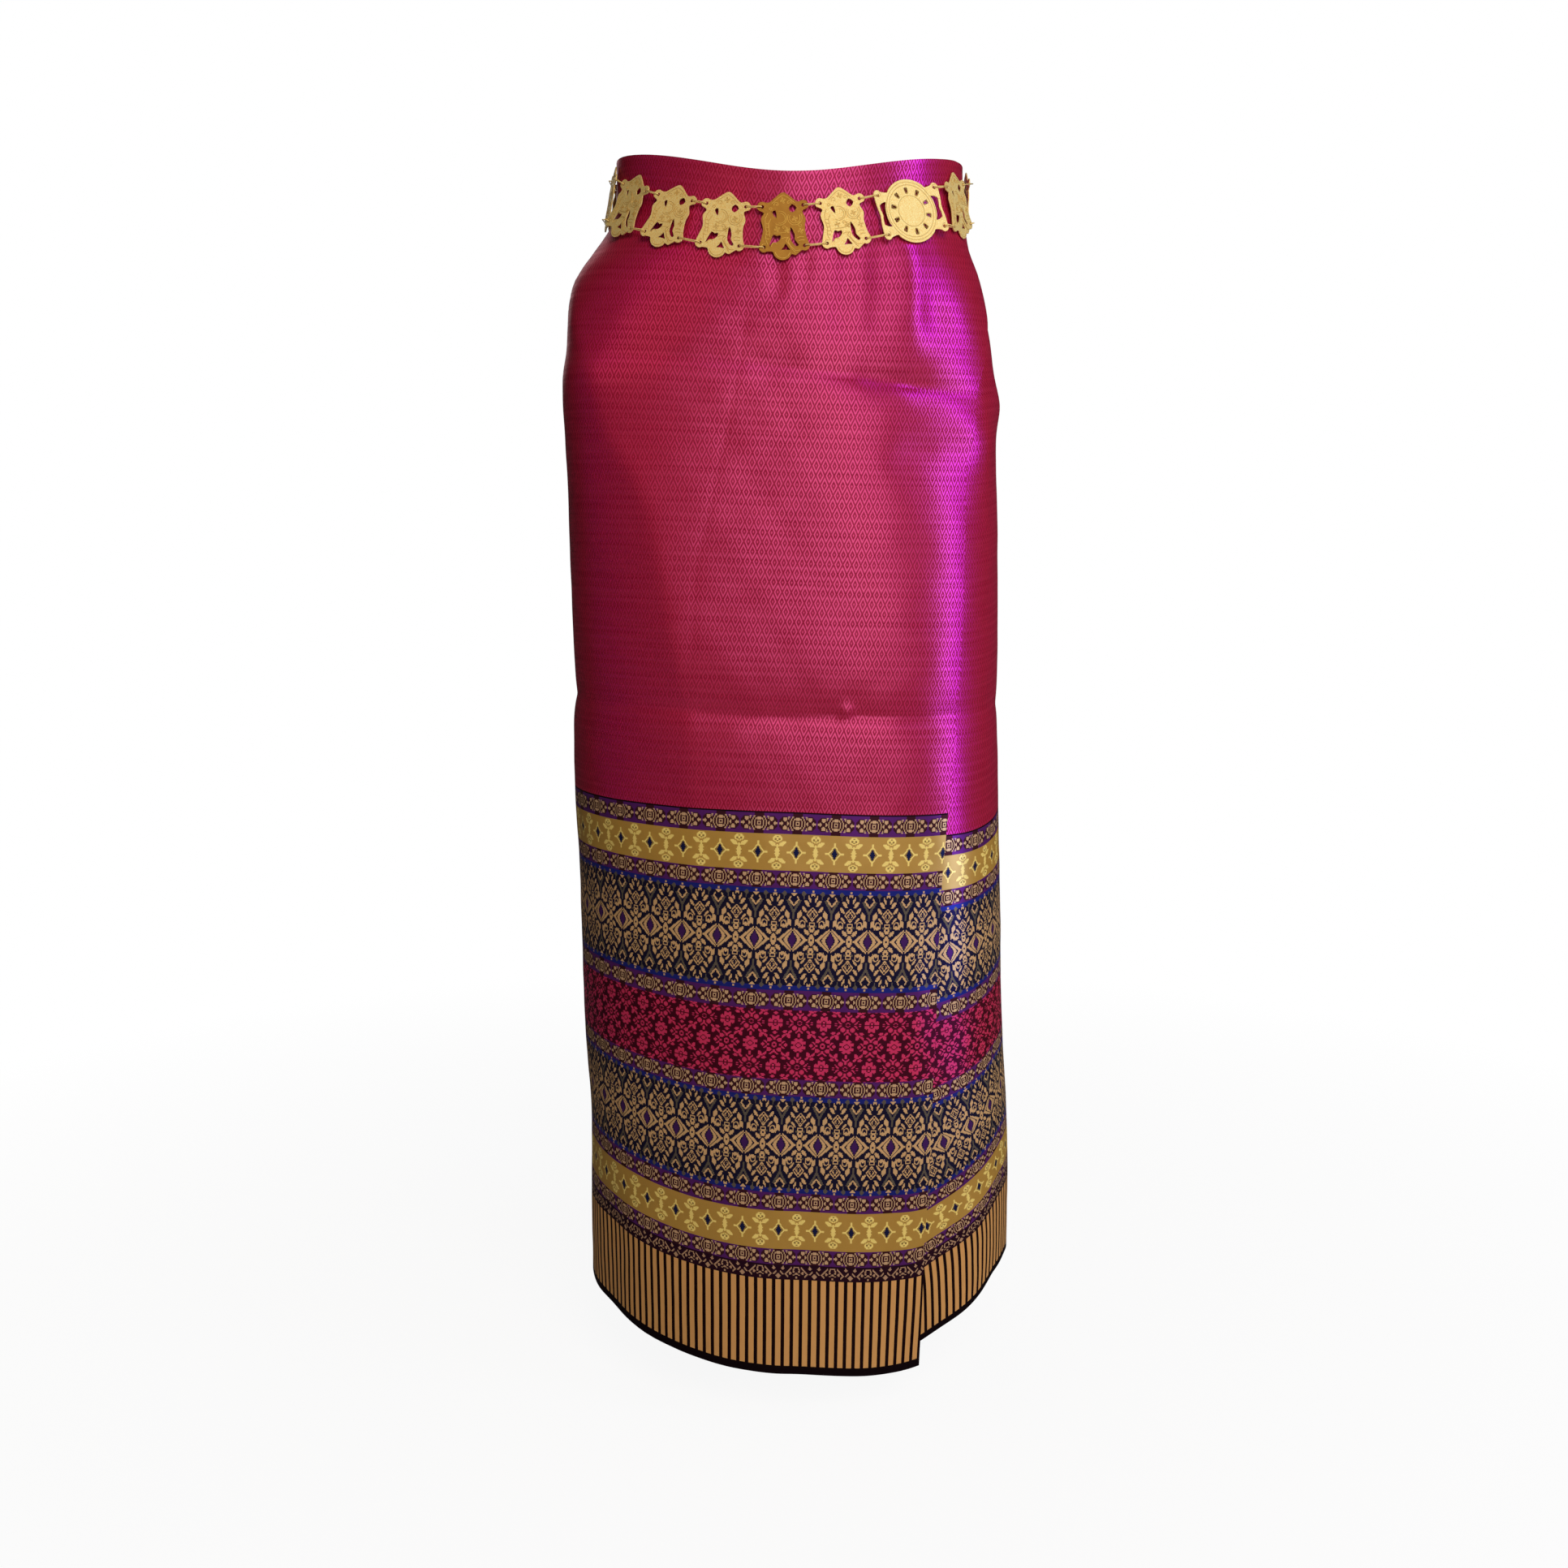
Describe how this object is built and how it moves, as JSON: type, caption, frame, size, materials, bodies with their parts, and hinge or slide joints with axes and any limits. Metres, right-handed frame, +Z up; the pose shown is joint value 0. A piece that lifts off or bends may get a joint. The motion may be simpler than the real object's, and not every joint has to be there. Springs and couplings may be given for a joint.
{
  "type": "wrapped skirt with chain belt",
  "caption": "Ankle-length silk cloth wrapped round the body as a narrow skirt, with a deep patterned foot border, held at the waist by a pierced metal chain belt.",
  "frame": {"origin": "middle of the waist opening, level with the belt at the front, where the wearer holds the skirt up", "axes": "+Z up the body, -Y towards the skirt's front, +X towards the free edge's side"},
  "size_m": [0.3874, 0.3127, 0.9849],
  "materials": {
    "silk": "shot silk with a brocaded border",
    "gold_metal": "hammered, gold coloured"
  },
  "bodies": {
    "root": {"wrap_cloth": "silk", "belt_buckle": "gold_metal", "belt_plate_01": "gold_metal", "belt_plate_02": "gold_metal", "belt_plate_03": "gold_metal", "belt_plate_04": "gold_metal", "belt_plate_05": "gold_metal", "belt_plate_06": "gold_metal", "belt_plate_07": "gold_metal", "belt_plate_08": "gold_metal", "belt_plate_09": "gold_metal", "belt_plate_10": "gold_metal", "belt_plate_11": "gold_metal", "belt_plate_12": "gold_metal", "belt_plate_13": "gold_metal", "belt_plate_14": "gold_metal", "belt_plate_15": "gold_metal", "belt_plate_16": "gold_metal", "belt_link_01_upper": "gold_metal", "belt_link_01_lower": "gold_metal", "belt_link_02_upper": "gold_metal", "belt_link_02_lower": "gold_metal", "belt_link_03_upper": "gold_metal", "belt_link_03_lower": "gold_metal", "belt_link_04_upper": "gold_metal", "belt_link_04_lower": "gold_metal", "belt_link_05_upper": "gold_metal", "belt_link_05_lower": "gold_metal", "belt_link_06_upper": "gold_metal", "belt_link_06_lower": "gold_metal", "belt_link_07_upper": "gold_metal", "belt_link_07_lower": "gold_metal", "belt_link_08_upper": "gold_metal", "belt_link_08_lower": "gold_metal", "belt_link_09_upper": "gold_metal", "belt_link_09_lower": "gold_metal", "belt_link_10_upper": "gold_metal", "belt_link_10_lower": "gold_metal", "belt_link_11_upper": "gold_metal", "belt_link_11_lower": "gold_metal", "belt_link_12_upper": "gold_metal", "belt_link_12_lower": "gold_metal", "belt_link_13_upper": "gold_metal", "belt_link_13_lower": "gold_metal", "belt_link_14_upper": "gold_metal", "belt_link_14_lower": "gold_metal", "belt_link_15_upper": "gold_metal", "belt_link_15_lower": "gold_metal", "belt_link_16_upper": "gold_metal", "belt_link_16_lower": "gold_metal", "belt_link_17_upper": "gold_metal", "belt_link_17_lower": "gold_metal"}
  },
  "joints": []
}
